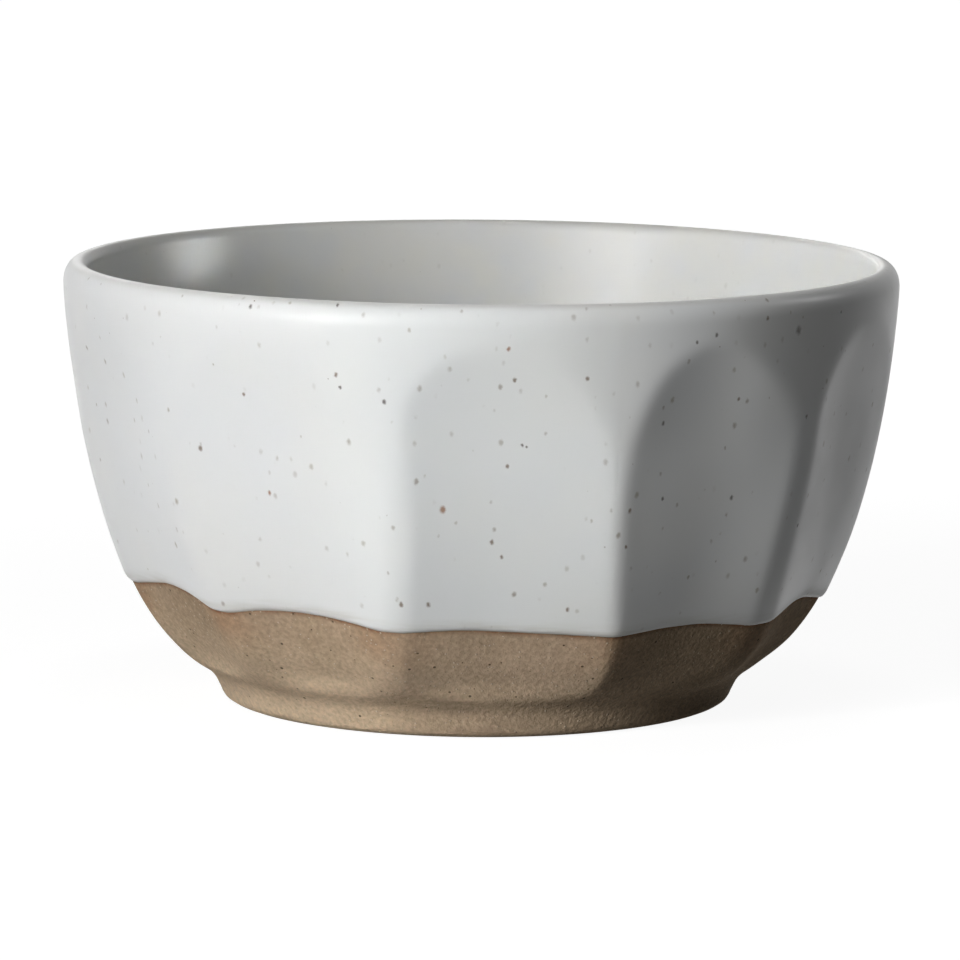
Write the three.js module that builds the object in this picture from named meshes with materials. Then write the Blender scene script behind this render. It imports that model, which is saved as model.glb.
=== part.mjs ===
// A wheel-thrown stoneware bowl: a clay body with a turned foot and arch-topped flutes cut around its
// outside, and a glaze coat that covers the inside, the lip and the outside down to a wavy dip line.
// Millimetres. The bowl stands on its foot on the plane z = 0, its axis is Z, and one flute faces -Y.
import * as THREE from 'three';

// Whole bowl, over the glaze
const RIM_DIAMETER = 140;
const HEIGHT = 74;

// Glaze coat
const GLAZE_THICKNESS = 0.5;
const GLAZE_LINE_HEIGHT = 19.4; // dip line on the lands between the flutes
const GLAZE_LINE_TILT = 1.7; // the bowl was held aslant, so the line is lower at +X and higher at -X
const GLAZE_LINE_RISE = 1.3; // how much higher the line runs in the middle of a flute
const GLAZE_BEAD_HEIGHT = 1.3; // from the feathered edge up to the thickest part of the drip bead
const GLAZE_BEAD_EXTRA = 0.12; // added thickness of the bead

// Lip, in clay
const LIP_OUTER_WIDTH = 2; // outer rounding, from the shoulder in to the crest
const LIP_OUTER_DROP = 3; // and from the crest down to the shoulder
const LIP_INNER_WIDTH = 1.1;
const LIP_INNER_DROP = 1.5;

// Foot, turned from the clay
const FOOT_TOP_DIAMETER = 89.8;
const FOOT_BASE_DIAMETER = 86;
const FOOT_HEIGHT = 5.4;
const FOOT_EDGE_WIDTH = 3.4; // rounded lower edge, across
const FOOT_EDGE_HEIGHT = 1.6; // and up
const FOOT_RING_WIDTH = 5; // flat ring that the bowl stands on
const RECESS_DEPTH = 2.6; // hollow inside the foot ring
const RECESS_SIDE_WIDTH = 2.4; // its sloped side

// Wall, in clay: a curve that leaves the foot low, turns up through the belly and rises to the lip
const BELLY_REACH = 24.7; // length of the run that leaves the foot
const BELLY_ANGLE = 27.4; // its angle above the table, in degrees
const RIM_REACH = 2.5; // upright run below the lip
const FLOOR_THICKNESS = 7.6; // clay under the middle of the inside
const INNER_WALL_REACH = 46; // run that leaves the lip on the inside
const INNER_WALL_ANGLE = 10; // its lean from the upright, in degrees
const INNER_FLOOR_REACH = 56; // level run in the middle of the floor

// Flutes, cut down the outside and rounded off at the top like an arch
const FLUTE_COUNT = 11;
const FLUTE_DEPTH = 2.5; // in the middle, from the round wall
const FLUTE_TOP_DROP = 7.2; // from the rim down to the top of the arch
const LAND_WIDTH = 4.5; // uncut wall between two flutes
const FLUTE_EDGE_WIDTH = 4.6; // soft edge between a land and a flute
const FLUTE_FADE_HEIGHT = 5.6; // above the foot, where the flutes run out

// How finely the round stretches are divided
const LIP_STEPS = 3;
const FOOT_EDGE_STEPS = 3;
const INNER_STEPS = 8;
const FLUTE_COLUMNS = [0.45, 0.8, 1]; // across half a flute, as shares of its half width
const BARE_ROWS = [0.12, 0.3, 0.55, 0.8]; // from the foot up to the dip line
const FLUTE_ROWS = [0.25, 0.5, 0.75]; // from the glaze bead up to the arch
const SPANDREL_ROWS = [0.5]; // from the arch up to the lip

const rimRadius = RIM_DIAMETER / 2 - GLAZE_THICKNESS;
const crestHeight = HEIGHT - GLAZE_THICKNESS;
const shoulder = new THREE.Vector2(rimRadius, crestHeight - LIP_OUTER_DROP);
const crest = new THREE.Vector2(rimRadius - LIP_OUTER_WIDTH, crestHeight);
const innerLip = new THREE.Vector2(crest.x - LIP_INNER_WIDTH, crestHeight - LIP_INNER_DROP);
const neck = new THREE.Vector2(FOOT_TOP_DIAMETER / 2, FOOT_HEIGHT);
const footBase = new THREE.Vector2(FOOT_BASE_DIAMETER / 2, FOOT_EDGE_HEIGHT);
const ringOuterRadius = footBase.x - FOOT_EDGE_WIDTH;
const ringInnerRadius = ringOuterRadius - FOOT_RING_WIDTH;
const floorMiddle = new THREE.Vector2(0, RECESS_DEPTH + FLOOR_THICKNESS);

function polar(length, angle) {
  return new THREE.Vector2(length * Math.cos(angle), length * Math.sin(angle));
}

const bellyTurn = neck.clone().add(polar(BELLY_REACH, THREE.MathUtils.degToRad(BELLY_ANGLE)));
const rimTurn = shoulder.clone().add(new THREE.Vector2(0, -RIM_REACH));
const outerWall = new THREE.CubicBezierCurve(neck, bellyTurn, rimTurn, shoulder);

const innerLean = THREE.MathUtils.degToRad(-90 - INNER_WALL_ANGLE);
const innerTurn = innerLip.clone().add(polar(INNER_WALL_REACH, innerLean));
const floorTurn = floorMiddle.clone().add(new THREE.Vector2(INNER_FLOOR_REACH, 0));
const innerWall = new THREE.CubicBezierCurve(innerLip, innerTurn, floorTurn, floorMiddle);

// Radius of the round wall at a height, before the flutes are cut.
function wallRadius(height) {
  let low = 0;
  let high = 1;
  for (let step = 0; step < 40; step += 1) {
    const middle = (low + high) / 2;
    if (outerWall.getPoint(middle).y < height) low = middle;
    else high = middle;
  }
  return outerWall.getPoint(high).x;
}

// The arch of a flute is a half circle as wide as the flute, drawn on the wall at the flute's top.
const flutePitch = (2 * Math.PI) / FLUTE_COUNT;
const archTop = HEIGHT - FLUTE_TOP_DROP;
const archWallRadius = wallRadius(archTop);
const fluteHalfAngle = (flutePitch - LAND_WIDTH / archWallRadius) / 2;
const archRadius = fluteHalfAngle * archWallRadius;
const archSpring = archTop - archRadius;
const edgeShare = FLUTE_EDGE_WIDTH / (2 * archRadius);

// Distance across a flute from its middle line: 0 in the middle, 1 at the edge of the land.
function acrossFlute(angle) {
  const offset = angle - flutePitch * Math.round(angle / flutePitch);
  return Math.abs(offset) / fluteHalfAngle;
}

// A shallow scoop, 1 in the middle of a flute and 0 on the lands, with its edges rounded over.
function scoop(distance) {
  const share = 1 - distance * distance;
  const soft = 2 * edgeShare;
  if (share < -soft) return 0;
  if (share > soft) return share;
  return (share + soft) ** 2 / (4 * soft);
}

function fluteDepth(angle, height) {
  const above = Math.max(0, (height - archSpring) / archRadius);
  const fade = THREE.MathUtils.smoothstep(height, FOOT_HEIGHT, FOOT_HEIGHT + FLUTE_FADE_HEIGHT);
  return FLUTE_DEPTH * fade * scoop(Math.hypot(acrossFlute(angle), above));
}

function wallPoint(angle, height) {
  return new THREE.Vector2(wallRadius(height) - fluteDepth(angle, height), height);
}

function glazeLine(angle) {
  const tilt = GLAZE_LINE_TILT * Math.sin(angle);
  return GLAZE_LINE_HEIGHT - tilt + GLAZE_LINE_RISE * scoop(acrossFlute(angle));
}

// Height at which a line drawn round the arch, at a share of its radius, crosses this angle.
function archHeight(angle, share) {
  const across = acrossFlute(angle);
  const rise = share > across ? Math.sqrt(share * share - across * across) : share - across;
  return archSpring + archRadius * rise;
}

// Points between two heights, at the given shares of the way up.
function wallRows(angle, bottom, top, shares) {
  return shares.map((share) => wallPoint(angle, THREE.MathUtils.lerp(bottom, top, share)));
}

// Quarter of an ellipse from one point to another, upright at one end and level at the other.
function quarter(from, to, startsUpright, steps) {
  const points = [];
  for (let step = 1; step <= steps; step += 1) {
    const turn = (step / steps) * (Math.PI / 2);
    const across = startsUpright ? 1 - Math.cos(turn) : Math.sin(turn);
    const up = startsUpright ? Math.sin(turn) : 1 - Math.cos(turn);
    points.push(new THREE.Vector2(
      THREE.MathUtils.lerp(from.x, to.x, across),
      THREE.MathUtils.lerp(from.y, to.y, up),
    ));
  }
  return points;
}

// Clay that stays bare: from the middle of the underside out to the foot and up to the dip line.
function bareClay(angle) {
  const ringOuter = new THREE.Vector2(ringOuterRadius, 0);
  return [
    new THREE.Vector2(0, RECESS_DEPTH),
    new THREE.Vector2(ringInnerRadius - RECESS_SIDE_WIDTH, RECESS_DEPTH),
    new THREE.Vector2(ringInnerRadius, 0),
    ringOuter,
    ...quarter(ringOuter, footBase, false, FOOT_EDGE_STEPS),
    neck,
    ...wallRows(angle, FOOT_HEIGHT, glazeLine(angle), BARE_ROWS),
  ];
}

// Clay under the glaze: from the dip line up the outside, over the lip and down to the middle of the floor.
function coatedClay(angle) {
  const line = glazeLine(angle);
  const bead = line + GLAZE_BEAD_HEIGHT;
  const archFloor = archHeight(angle, 1 - edgeShare);
  const archCrown = archHeight(angle, 1 + edgeShare);
  const inner = innerWall.getPoints(INNER_STEPS).slice(1, -1);
  return [
    wallPoint(angle, line),
    wallPoint(angle, bead),
    ...wallRows(angle, bead, archFloor, FLUTE_ROWS),
    wallPoint(angle, archFloor),
    wallPoint(angle, archHeight(angle, 1)),
    wallPoint(angle, archCrown),
    ...wallRows(angle, archCrown, shoulder.y, SPANDREL_ROWS),
    shoulder,
    ...quarter(shoulder, crest, true, LIP_STEPS),
    ...quarter(crest, innerLip, false, LIP_STEPS),
    ...inner,
    floorMiddle,
  ];
}

// Outer face of the glaze: the coated clay moved out along its own normals, from the bead onwards.
function glazeFace(clay) {
  return clay.slice(1).map((point, index) => {
    const isMiddle = point === floorMiddle;
    const before = clay[index];
    const after = isMiddle ? new THREE.Vector2(-before.x, before.y) : clay[index + 2];
    const along = after.clone().sub(before).normalize();
    const normal = new THREE.Vector2(along.y, -along.x);
    const thickness = GLAZE_THICKNESS + (index === 0 ? GLAZE_BEAD_EXTRA : 0);
    return point.clone().addScaledVector(normal, thickness);
  });
}

function bodySection(angle) {
  return [...bareClay(angle), ...coatedClay(angle)];
}

function glazeSection(angle) {
  const clay = coatedClay(angle);
  return [...clay.toReversed(), ...glazeFace(clay)];
}

// Angles round the bowl: the middle of each land, then from edge to edge of each flute.
function anglesRound() {
  const shares = [...FLUTE_COLUMNS.toReversed().map((share) => -share), 0, ...FLUTE_COLUMNS];
  const angles = [];
  for (let flute = 0; flute < FLUTE_COUNT; flute += 1) {
    const middle = flute * flutePitch;
    angles.push(middle - flutePitch / 2);
    shares.forEach((share) => angles.push(middle + share * fluteHalfAngle));
  }
  return [...angles, angles[0] + 2 * Math.PI];
}

// Splits the quads of the first rows along their other diagonal.
function turnDiagonals(geometry, columns, rows, turnedRows) {
  const index = geometry.index;
  for (let column = 0; column < columns; column += 1) {
    for (let row = 0; row < turnedRows; row += 1) {
      const quad = 6 * (column * (rows - 1) + row);
      const [a, b, d, c] = [0, 1, 2, 3].map((corner) => index.getX(quad + corner));
      [a, b, c, a, c, d].forEach((vertex, corner) => index.setX(quad + corner, vertex));
    }
  }
}

// A lathe turn whose section changes with the angle. A section may start with rows that follow another
// piece's face backwards: their quads are split as that face's are, so that the two faces meet exactly.
function revolve(sectionAt, backwardRows) {
  const angles = anglesRound();
  const columns = angles.length - 1;
  const rows = sectionAt(angles[0]);
  const geometry = new THREE.LatheGeometry(rows, columns);
  const position = geometry.attributes.position;
  angles.forEach((angle, column) => {
    sectionAt(angle).forEach((point, row) => {
      const vertex = column * rows.length + row;
      position.setXYZ(vertex, point.x * Math.sin(angle), point.y, point.x * Math.cos(angle));
    });
  });
  turnDiagonals(geometry, columns, rows.length, backwardRows);
  geometry.rotateX(Math.PI / 2);
  geometry.computeVertexNormals();
  return geometry;
}

const stoneware = new THREE.MeshStandardMaterial({ color: '#a3866a', roughness: 0.9, metalness: 0 });
const satinGlaze = new THREE.MeshStandardMaterial({ color: '#e3e4e1', roughness: 0.35, metalness: 0 });

const stonewareBody = new THREE.Mesh(revolve(bodySection, 0), stoneware);
stonewareBody.name = 'stoneware_body';

const glazeCoat = new THREE.Mesh(revolve(glazeSection, coatedClay(0).length - 1), satinGlaze);
glazeCoat.name = 'glaze_coat';

const bowl = new THREE.Group();
bowl.add(stonewareBody, glazeCoat);

export default bowl;
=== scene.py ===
# A hand-thrown stoneware bowl with cut flutes and a speckled satin glaze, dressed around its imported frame.
import math

import bpy
from mathutils import Matrix, Vector


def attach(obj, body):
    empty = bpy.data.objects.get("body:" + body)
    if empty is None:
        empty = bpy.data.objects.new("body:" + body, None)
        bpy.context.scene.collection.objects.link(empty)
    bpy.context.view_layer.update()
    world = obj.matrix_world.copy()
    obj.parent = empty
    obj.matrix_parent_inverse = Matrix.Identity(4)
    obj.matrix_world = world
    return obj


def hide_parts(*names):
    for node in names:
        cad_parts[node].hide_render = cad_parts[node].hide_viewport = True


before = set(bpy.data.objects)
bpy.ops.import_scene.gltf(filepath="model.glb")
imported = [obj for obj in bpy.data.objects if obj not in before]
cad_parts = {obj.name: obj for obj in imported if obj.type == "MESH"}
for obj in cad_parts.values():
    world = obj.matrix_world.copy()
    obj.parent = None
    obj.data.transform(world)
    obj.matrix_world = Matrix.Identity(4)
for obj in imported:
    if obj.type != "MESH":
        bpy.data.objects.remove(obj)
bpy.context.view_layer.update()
scene = bpy.context.scene


# Clay body: brown stoneware, thrown on a wheel, with a foot turned at the leather-hard stage and eleven
# flutes cut down the outside with a loop tool. It is left bare below the dip line and on the underside.
MM = 0.001
RIM_RADIUS = 69.5 * MM
CREST_HEIGHT = 73.5 * MM
LIP_OUTER = (2.0 * MM, 3.0 * MM)
LIP_INNER = (1.1 * MM, 1.5 * MM)
FOOT_TOP = (44.9 * MM, 5.4 * MM)
FOOT_FILLET = 2.0 * MM
FOOT_BASE = (43.0 * MM, 1.6 * MM)
RING_OUTER = 39.6 * MM
RING_INNER = 34.6 * MM
RECESS_RADIUS = 32.2 * MM
RECESS_DEPTH = 2.6 * MM
FLOOR_HEIGHT = 10.2 * MM

# How far, and which way, the section's curves set out from the foot, the rim, the inner lip and the floor.
BELLY_RUN = (24.7 * MM, math.radians(27.4))
RIM_RUN = 2.5 * MM
INNER_RUN = (46.0 * MM, math.radians(-100.0))
FLOOR_RUN = 56.0 * MM
ROUND = 0.5523  # handle of a quarter ellipse, as a share of its axis

FLUTE_COUNT = 11
LAND_WIDTH = 4.5 * MM
ARCH_WALL = 69.2 * MM  # radius of the wall at the top of the arches
HALF_ANGLE = (math.tau / FLUTE_COUNT - LAND_WIDTH / ARCH_WALL) / 2
FLUTES = {
    "Flute count": FLUTE_COUNT,
    "Flute depth": 2.5 * MM,
    "Half angle": HALF_ANGLE,
    "Arch top": 66.8 * MM,
    "Arch radius": HALF_ANGLE * ARCH_WALL,
    "Edge softness": 0.25,
    "Fade start": 5.4 * MM,
    "Fade end": 11.0 * MM,
}
DIP_LINE = {
    "Line height": 19.4 * MM,
    "Line tilt": 1.7 * MM,
    "Line rise": 1.3 * MM,
    "Rise swing": 4.0 * MM,
    "Rise seed": 178.4,
    "Ripple": 0.35 * MM,
    "Line share": 0.297,
}
HAND = {
    "Lean": math.radians(2.0),
    "Wander": math.radians(8.85),
    "Wander seed": 613.2,
    "Land swing": math.radians(4.3),
    "Land seed": 104.7,
    "Wobble": 0.25 * MM,
    "Foot shift": 0.45 * MM,
}
LEAN_SPAN = (34.0 * MM, 60.0 * MM)  # heights between which a stroke leans over
LAND_SPAN = (60.0 * MM, 42.0 * MM)  # heights between which the lands widen or narrow
STEADY_RADIUS = 20.0 * MM  # within it the wobble dies out towards the axis

# How quickly each unevenness changes: a scale is in noise cells to a radius of the bowl, and a climb is in
# radii to a metre of height.
WANDER_SCALE = 2.5
WANDER_CLIMB = 13.0
LAND_SCALE = 1.3
RISE_SCALE = 1.4
RIPPLE_SCALE = 7.0
WOBBLE_SCALE = 2.6
WOBBLE_CLIMB = 20.0

BODY_COLUMNS = 352
BODY_ROWS = 240
ROW_PULL = 0.4  # how far the rows are drawn towards the underside, from 0 to 1
CLAY_SEAM = 0.005 * MM
MATH = "ShaderNodeMath"
RANGE = "ShaderNodeMapRange"
NOISE = "ShaderNodeTexNoise"


def add(tree, kind, links=None, **settings):
    """Adds one node. Each link names an input and gives its value or the socket that feeds it."""
    made = tree.nodes.new(kind)
    for name, value in settings.items():
        setattr(made, name, value)
    for name, value in (links or {}).items():
        if isinstance(value, bpy.types.NodeSocket):
            tree.links.new(value, made.inputs[name])
        else:
            made.inputs[name].default_value = value
    return made.outputs


def throwing_template():
    """The clay's section as a potter's template: one open curve from the underside to the inside floor."""
    shoulder = Vector((RIM_RADIUS, CREST_HEIGHT - LIP_OUTER[1]))
    crest = Vector((RIM_RADIUS - LIP_OUTER[0], CREST_HEIGHT))
    inner_lip = Vector((crest.x - LIP_INNER[0], CREST_HEIGHT - LIP_INNER[1]))
    foot_top = Vector(FOOT_TOP)
    foot_base = Vector(FOOT_BASE)
    ring_outer = Vector((RING_OUTER, 0.0))
    belly = Vector((math.cos(BELLY_RUN[1]), math.sin(BELLY_RUN[1]))) * BELLY_RUN[0]
    inner = Vector((math.cos(INNER_RUN[1]), math.sin(INNER_RUN[1]))) * INNER_RUN[0]
    still = Vector((0.0, 0.0))
    side_fillet = (foot_top - foot_base).normalized() * FOOT_FILLET
    belly_fillet = belly.normalized() * FOOT_FILLET
    knots = [
        (Vector((0.0, RECESS_DEPTH)), still, still),
        (Vector((RECESS_RADIUS, RECESS_DEPTH)), still, still),
        (Vector((RING_INNER, 0.0)), still, still),
        (ring_outer, still, Vector(((foot_base - ring_outer).x * ROUND, 0.0))),
        (foot_base, Vector((0.0, -foot_base.y * ROUND)), still),
        (foot_top - side_fillet, still, side_fillet * ROUND),
        (foot_top + belly_fillet, -belly_fillet * ROUND, belly - belly_fillet),
        (shoulder, Vector((0.0, -RIM_RUN)), Vector((0.0, LIP_OUTER[1] * ROUND))),
        (crest, Vector((LIP_OUTER[0] * ROUND, 0.0)), Vector((-LIP_INNER[0] * ROUND, 0.0))),
        (inner_lip, Vector((0.0, LIP_INNER[1] * ROUND)), inner),
        (Vector((0.0, FLOOR_HEIGHT)), Vector((FLOOR_RUN, 0.0)), still),
    ]
    curve = bpy.data.curves.new("throwing_template", "CURVE")
    curve.dimensions = "3D"
    curve.resolution_u = 64
    spline = curve.splines.new("BEZIER")
    spline.bezier_points.add(len(knots) - 1)
    for point, (place, before, after) in zip(spline.bezier_points, knots):
        point.handle_left_type = "FREE"
        point.handle_right_type = "FREE"
        point.co = (place.x, 0.0, place.y)
        point.handle_left = (place.x + before.x, 0.0, place.y + before.y)
        point.handle_right = (place.x + after.x, 0.0, place.y + after.y)
    template = bpy.data.objects.new("throwing_template", curve)
    scene.collection.objects.link(template)
    return template


FLUTE_INPUTS = (
    "Angle", "Height", "Flute count", "Half angle",
    "Lean", "Wander", "Wander seed", "Land swing", "Land seed",
)


def flute_share():
    """A node group: 1 in the middle of a flute, 0 at the edge of its land and less beyond."""
    tree = bpy.data.node_groups.new("Flute share", "GeometryNodeTree")
    for name in FLUTE_INPUTS:
        tree.interface.new_socket(name, in_out="INPUT", socket_type="NodeSocketFloat")
    tree.interface.new_socket("Share", in_out="OUTPUT", socket_type="NodeSocketFloat")
    given = add(tree, "NodeGroupInput")

    # The flutes are spaced and drawn by eye: a slow noise over angle and height moves their edges, and each
    # stroke leans a little to the left at its top.
    east = add(tree, MATH, {0: given["Angle"]}, operation="SINE")[0]
    north = add(tree, MATH, {0: given["Angle"]}, operation="COSINE")[0]
    tall = add(tree, MATH, {0: given["Height"], 1: WANDER_CLIMB}, operation="MULTIPLY")[0]
    spot = add(tree, "ShaderNodeCombineXYZ", {0: east, 1: north, 2: tall})[0]
    drift = add(tree, NOISE, {
        "Vector": spot, "W": given["Wander seed"], "Scale": WANDER_SCALE, "Detail": 0.0,
    }, noise_dimensions="4D")[0]
    swing = add(tree, MATH, {0: drift, 1: 0.5}, operation="SUBTRACT")[0]
    wandered = add(tree, MATH, {0: swing, 1: given["Wander"], 2: given["Angle"]}, operation="MULTIPLY_ADD")[0]
    upper = add(tree, RANGE, {
        "Value": given["Height"], "From Min": LEAN_SPAN[0], "From Max": LEAN_SPAN[1],
    }, interpolation_type="SMOOTHSTEP")[0]
    cut_angle = add(tree, MATH, {0: upper, 1: given["Lean"], 2: wandered}, operation="MULTIPLY_ADD")[0]

    # Below the arches the cuts widen or narrow, until some of them meet in a sharp ridge.
    lower = add(tree, RANGE, {
        "Value": given["Height"], "From Min": LAND_SPAN[0], "From Max": LAND_SPAN[1],
    }, interpolation_type="SMOOTHSTEP")[0]
    circle = add(tree, "ShaderNodeCombineXYZ", {0: east, 1: north})[0]
    uneven = add(tree, NOISE, {
        "Vector": circle, "W": given["Land seed"], "Scale": LAND_SCALE, "Detail": 0.0,
    }, noise_dimensions="4D")[0]
    uneven_swing = add(tree, MATH, {0: uneven, 1: 0.5}, operation="SUBTRACT")[0]
    wider = add(tree, MATH, {0: uneven_swing, 1: given["Land swing"]}, operation="MULTIPLY")[0]
    half_angle = add(tree, MATH, {0: lower, 1: wider, 2: given["Half angle"]}, operation="MULTIPLY_ADD")[0]

    pitch = add(tree, MATH, {0: math.tau, 1: given["Flute count"]}, operation="DIVIDE")[0]
    half_pitch = add(tree, MATH, {0: pitch, 1: 0.5}, operation="MULTIPLY")[0]
    minus_half = add(tree, MATH, {0: pitch, 1: -0.5}, operation="MULTIPLY")[0]
    aside = add(tree, MATH, {0: cut_angle, 1: half_pitch, 2: minus_half}, operation="WRAP")[0]
    across = add(tree, MATH, {0: aside, 1: half_angle}, operation="DIVIDE")[0]
    across_squared = add(tree, MATH, {0: across, 1: across}, operation="MULTIPLY")[0]
    share = add(tree, MATH, {0: 1.0, 1: across_squared}, operation="SUBTRACT")[0]
    add(tree, "NodeGroupOutput", {"Share": share})
    return tree


FLUTE_SHARE = flute_share()
SHAPE = (*FLUTES, *DIP_LINE, *HAND)


def fluted_section():
    """A node group: a point's place on the fluted clay, from its angle and its share along the template."""
    tree = bpy.data.node_groups.new("Fluted section", "GeometryNodeTree")
    tree.interface.new_socket("Template", in_out="INPUT", socket_type="NodeSocketGeometry")
    for name in ("Angle", "Share", "Above line", "Offset", *SHAPE):
        tree.interface.new_socket(name, in_out="INPUT", socket_type="NodeSocketFloat")
    tree.interface.new_socket("Place", in_out="OUTPUT", socket_type="NodeSocketVector")
    for name in ("Over line", "Scoop", "Inside"):
        tree.interface.new_socket(name, in_out="OUTPUT", socket_type="NodeSocketFloat")
    given = add(tree, "NodeGroupInput")
    flutes = {name: given[name] for name in FLUTE_INPUTS if name != "Height"}
    east = add(tree, MATH, {0: given["Angle"]}, operation="SINE")[0]
    north = add(tree, MATH, {0: given["Angle"]}, operation="COSINE")[0]
    circle = add(tree, "ShaderNodeCombineXYZ", {0: east, 1: north})[0]

    # The dip line is slanted, ripples a little, and runs higher in the flutes, in some more than in others.
    at_line = add(tree, "GeometryNodeGroup", {
        **flutes, "Height": given["Line height"]}, node_tree=FLUTE_SHARE)[0]
    line_scoop = add(tree, MATH, {0: at_line, 1: 0.0, 2: given["Edge softness"]}, operation="SMOOTH_MAX")[0]
    slant = add(tree, MATH, {0: east, 1: given["Line tilt"]}, operation="MULTIPLY")[0]
    level = add(tree, MATH, {0: given["Line height"], 1: slant}, operation="SUBTRACT")[0]
    pull = add(tree, NOISE, {
        "Vector": circle, "W": given["Rise seed"], "Scale": RISE_SCALE, "Detail": 0.0,
    }, noise_dimensions="4D")[0]
    pull_swing = add(tree, MATH, {0: pull, 1: 0.5}, operation="SUBTRACT")[0]
    rise = add(tree, MATH, {
        0: pull_swing, 1: given["Rise swing"], 2: given["Line rise"]}, operation="MULTIPLY_ADD")[0]
    raised = add(tree, MATH, {0: line_scoop, 1: rise, 2: level}, operation="MULTIPLY_ADD")[0]
    ripple = add(tree, NOISE, {"Vector": circle, "Scale": RIPPLE_SCALE, "Detail": 1.0})[0]
    ripple_swing = add(tree, MATH, {0: ripple, 1: 0.5}, operation="SUBTRACT")[0]
    line = add(tree, MATH, {0: ripple_swing, 1: given["Ripple"], 2: raised}, operation="MULTIPLY_ADD")[0]

    # The share of the template at which this angle's dip line lies, by one step from a near guess.
    near = add(tree, "GeometryNodeSampleCurve", {
        "Curves": given["Template"], "Factor": given["Line share"]}, mode="FACTOR")
    near_place = add(tree, "ShaderNodeSeparateXYZ", {0: near["Position"]})
    near_way = add(tree, "ShaderNodeSeparateXYZ", {0: near["Tangent"]})
    length = add(tree, "GeometryNodeCurveLength", {0: given["Template"]})[0]
    climb = add(tree, MATH, {0: near_way[2], 1: length}, operation="MULTIPLY")[0]
    missing = add(tree, MATH, {0: line, 1: near_place[2]}, operation="SUBTRACT")[0]
    step = add(tree, MATH, {0: missing, 1: climb}, operation="DIVIDE")[0]
    line_share = add(tree, MATH, {0: given["Line share"], 1: step}, operation="ADD")[0]

    # Rows above the line are spread from the line to the end of the template.
    rest = add(tree, MATH, {0: 1.0, 1: line_share}, operation="SUBTRACT")[0]
    above = add(tree, MATH, {0: given["Share"], 1: rest, 2: line_share}, operation="MULTIPLY_ADD")[0]
    lift = add(tree, MATH, {0: above, 1: given["Share"]}, operation="SUBTRACT")[0]
    share = add(tree, MATH, {0: lift, 1: given["Above line"], 2: given["Share"]}, operation="MULTIPLY_ADD")[0]
    point = add(tree, "GeometryNodeSampleCurve", {
        "Curves": given["Template"], "Factor": share}, mode="FACTOR")
    place = add(tree, "ShaderNodeSeparateXYZ", {0: point["Position"]})
    way = add(tree, "ShaderNodeSeparateXYZ", {0: point["Tangent"]})
    radius = place[0]
    height = place[2]

    # The flute is rounded off at the top like an arch, fades out above the foot and is cut only outside.
    straight = add(tree, "GeometryNodeGroup", {**flutes, "Height": height}, node_tree=FLUTE_SHARE)[0]
    spring = add(tree, MATH, {0: given["Arch top"], 1: given["Arch radius"]}, operation="SUBTRACT")[0]
    over_spring = add(tree, MATH, {0: height, 1: spring}, operation="SUBTRACT")[0]
    up_share = add(tree, MATH, {0: over_spring, 1: given["Arch radius"]}, operation="DIVIDE")[0]
    up = add(tree, MATH, {0: up_share, 1: 0.0}, operation="MAXIMUM")[0]
    up_squared = add(tree, MATH, {0: up, 1: up}, operation="MULTIPLY")[0]
    arch = add(tree, MATH, {0: straight, 1: up_squared}, operation="SUBTRACT")[0]
    arch_scoop = add(tree, MATH, {0: arch, 1: 0.0, 2: given["Edge softness"]}, operation="SMOOTH_MAX")[0]
    fade = add(tree, RANGE, {
        "Value": height, "From Min": given["Fade start"], "From Max": given["Fade end"],
    }, interpolation_type="SMOOTHSTEP")[0]
    outside = add(tree, MATH, {0: way[2], 1: 0.0}, operation="GREATER_THAN")[0]
    inside = add(tree, MATH, {0: way[2], 1: 0.0}, operation="LESS_THAN")[0]
    faded = add(tree, MATH, {0: arch_scoop, 1: fade}, operation="MULTIPLY")[0]
    scoop = add(tree, MATH, {0: faded, 1: outside}, operation="MULTIPLY")[0]
    depth = add(tree, MATH, {0: scoop, 1: given["Flute depth"]}, operation="MULTIPLY")[0]

    # The wall is never quite true: a soft wobble of the radius, which dies out on the foot and the floor.
    tall = add(tree, MATH, {0: height, 1: WOBBLE_CLIMB}, operation="MULTIPLY")[0]
    spot = add(tree, "ShaderNodeCombineXYZ", {0: east, 1: north, 2: tall})[0]
    swell = add(tree, NOISE, {"Vector": spot, "Scale": WOBBLE_SCALE, "Detail": 1.0})[0]
    soft = add(tree, MATH, {0: swell, 1: 0.5}, operation="SUBTRACT")[0]
    settled = add(tree, MATH, {0: soft, 1: fade}, operation="MULTIPLY")[0]
    wobble = add(tree, MATH, {0: settled, 1: given["Wobble"]}, operation="MULTIPLY")[0]
    off_axis = add(tree, RANGE, {"Value": radius, "From Max": STEADY_RADIUS})[0]
    shaky = add(tree, MATH, {0: wobble, 1: off_axis}, operation="MULTIPLY")[0]
    cut = add(tree, MATH, {0: radius, 1: depth}, operation="SUBTRACT")[0]
    swayed = add(tree, MATH, {0: cut, 1: shaky}, operation="ADD")[0]

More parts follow.
